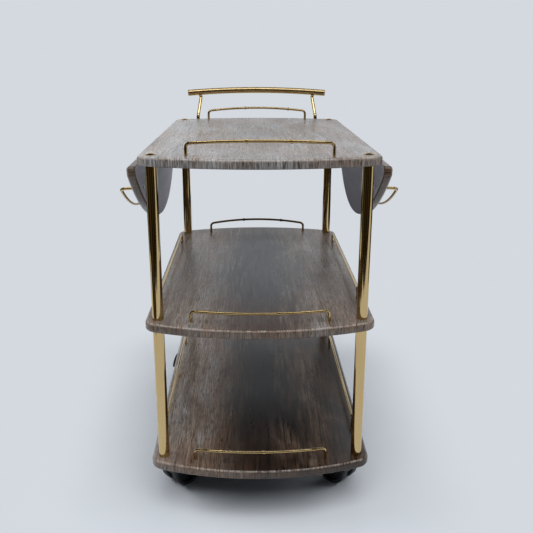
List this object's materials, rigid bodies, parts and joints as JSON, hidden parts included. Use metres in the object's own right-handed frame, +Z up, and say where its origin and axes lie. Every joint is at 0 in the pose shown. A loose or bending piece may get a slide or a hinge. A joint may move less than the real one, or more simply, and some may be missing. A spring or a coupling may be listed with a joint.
{
  "type": "serving trolley",
  "caption": "Serving trolley of bowed wood-grain boards on gold tube posts, with wire guard rails, a rear push handle, drop-down side leaves and swivel casters.",
  "frame": {"origin": "on the floor, below the middle of the trolley's whole box", "axes": "+Z up, +Y along the length towards the push handle, +X across to the right seen from the front end"},
  "size_m": [0.5478, 0.8594, 0.8205],
  "materials": {
    "wood_board": "grey-brown wood-grain foil, satin",
    "gold_plate": "polished gold-coloured plating",
    "zinc_steel": "bright zinc plate",
    "black_nylon": "moulded, low sheen",
    "wheel_nylon": "moulded, low sheen"
  },
  "bodies": {
    "frame": {"cap_nuts": "gold_plate", "caster_plates": "zinc_steel", "foot_nuts": "zinc_steel", "handle_bar": "gold_plate", "handle_end_caps": "gold_plate", "hinge_base_plates": "zinc_steel", "hinge_pins": "zinc_steel", "king_pins": "zinc_steel", "left_handle_stem": "gold_plate", "lower_front_rail": "gold_plate", "lower_left_rail": "gold_plate", "lower_post_front_left": "gold_plate", "lower_post_front_right": "gold_plate", "lower_post_rear_left": "gold_plate", "lower_post_rear_right": "gold_plate", "lower_rear_rail": "gold_plate", "lower_right_rail": "gold_plate", "lower_shelf": "wood_board", "middle_front_rail": "gold_plate", "middle_left_rail": "gold_plate", "middle_rear_rail": "gold_plate", "middle_right_rail": "gold_plate", "middle_shelf": "wood_board", "plate_screws": "zinc_steel", "rail_screws": "zinc_steel", "right_handle_stem": "gold_plate", "tie_rods": "zinc_steel", "top_front_rail": "gold_plate", "top_panel": "wood_board", "top_rear_rail": "gold_plate", "upper_post_front_left": "gold_plate", "upper_post_front_right": "gold_plate", "upper_post_rear_left": "gold_plate", "upper_post_rear_right": "gold_plate"},
    "caster_front_left": {"caster_axle_front_left": "zinc_steel", "caster_housing_front_left": "black_nylon"},
    "caster_front_right": {"caster_axle_front_right": "zinc_steel", "caster_housing_front_right": "black_nylon"},
    "caster_rear_left": {"caster_axle_rear_left": "zinc_steel", "caster_housing_rear_left": "black_nylon"},
    "caster_rear_right": {"caster_axle_rear_right": "zinc_steel", "caster_housing_rear_right": "black_nylon"},
    "wheel_front_left_a": {"caster_wheel_front_left_a": "wheel_nylon"},
    "wheel_front_left_b": {"caster_wheel_front_left_b": "wheel_nylon"},
    "wheel_front_right_a": {"caster_wheel_front_right_a": "wheel_nylon"},
    "wheel_front_right_b": {"caster_wheel_front_right_b": "wheel_nylon"},
    "wheel_rear_left_a": {"caster_wheel_rear_left_a": "wheel_nylon"},
    "wheel_rear_left_b": {"caster_wheel_rear_left_b": "wheel_nylon"},
    "wheel_rear_right_a": {"caster_wheel_rear_right_a": "wheel_nylon"},
    "wheel_rear_right_b": {"caster_wheel_rear_right_b": "wheel_nylon"},
    "left_leaf": {"left_flap_screws": "zinc_steel", "left_hinge_flaps": "zinc_steel", "left_leaf": "wood_board", "left_leaf_rail": "gold_plate", "left_leaf_rail_screws": "zinc_steel"},
    "right_leaf": {"right_flap_screws": "zinc_steel", "right_hinge_flaps": "zinc_steel", "right_leaf": "wood_board", "right_leaf_rail": "gold_plate", "right_leaf_rail_screws": "zinc_steel"}
  },
  "joints": [
    {"name": "left_leaf_fold", "type": "hinge", "parent": "frame", "child": "left_leaf", "pos_m": [-0.2255, -0.02075, 0.715], "axis": [0, 1, 0], "range_deg": [0, 93]},
    {"name": "right_leaf_fold", "type": "hinge", "parent": "frame", "child": "right_leaf", "pos_m": [0.2255, -0.02075, 0.715], "axis": [0, -1, 0], "range_deg": [0, 93]},
    {"name": "caster_swivel_front_left", "type": "hinge", "parent": "frame", "child": "caster_front_left", "pos_m": [-0.19, -0.29975, 0.095], "axis": [0, 0, 1], "continuous": true},
    {"name": "wheel_spin_front_left_a", "type": "hinge", "parent": "caster_front_left", "child": "wheel_front_left_a", "pos_m": [-0.17303, -0.28278, 0.0375], "axis": [-0.7071, 0.7071, 0], "continuous": true},
    {"name": "wheel_spin_front_left_b", "type": "hinge", "parent": "caster_front_left", "child": "wheel_front_left_b", "pos_m": [-0.17303, -0.28278, 0.0375], "axis": [-0.7071, 0.7071, 0], "continuous": true},
    {"name": "caster_swivel_front_right", "type": "hinge", "parent": "frame", "child": "caster_front_right", "pos_m": [0.19, -0.29975, 0.095], "axis": [0, 0, 1], "continuous": true},
    {"name": "wheel_spin_front_right_a", "type": "hinge", "parent": "caster_front_right", "child": "wheel_front_right_a", "pos_m": [0.17303, -0.28278, 0.0375], "axis": [-0.7071, -0.7071, 0], "continuous": true},
    {"name": "wheel_spin_front_right_b", "type": "hinge", "parent": "caster_front_right", "child": "wheel_front_right_b", "pos_m": [0.17303, -0.28278, 0.0375], "axis": [-0.7071, -0.7071, 0], "continuous": true},
    {"name": "caster_swivel_rear_left", "type": "hinge", "parent": "frame", "child": "caster_rear_left", "pos_m": [-0.19, 0.25825, 0.095], "axis": [0, 0, 1], "continuous": true},
    {"name": "wheel_spin_rear_left_a", "type": "hinge", "parent": "caster_rear_left", "child": "wheel_rear_left_a", "pos_m": [-0.20286, 0.23799, 0.0375], "axis": [0.8443, -0.5358, 0], "continuous": true},
    {"name": "wheel_spin_rear_left_b", "type": "hinge", "parent": "caster_rear_left", "child": "wheel_rear_left_b", "pos_m": [-0.20286, 0.23799, 0.0375], "axis": [0.8443, -0.5358, 0], "continuous": true},
    {"name": "caster_swivel_rear_right", "type": "hinge", "parent": "frame", "child": "caster_rear_right", "pos_m": [0.19, 0.25825, 0.095], "axis": [0, 0, 1], "continuous": true},
    {"name": "wheel_spin_rear_right_a", "type": "hinge", "parent": "caster_rear_right", "child": "wheel_rear_right_a", "pos_m": [0.19, 0.23425, 0.0375], "axis": [1, 0, 0], "continuous": true},
    {"name": "wheel_spin_rear_right_b", "type": "hinge", "parent": "caster_rear_right", "child": "wheel_rear_right_b", "pos_m": [0.19, 0.23425, 0.0375], "axis": [1, 0, 0], "continuous": true}
  ]
}
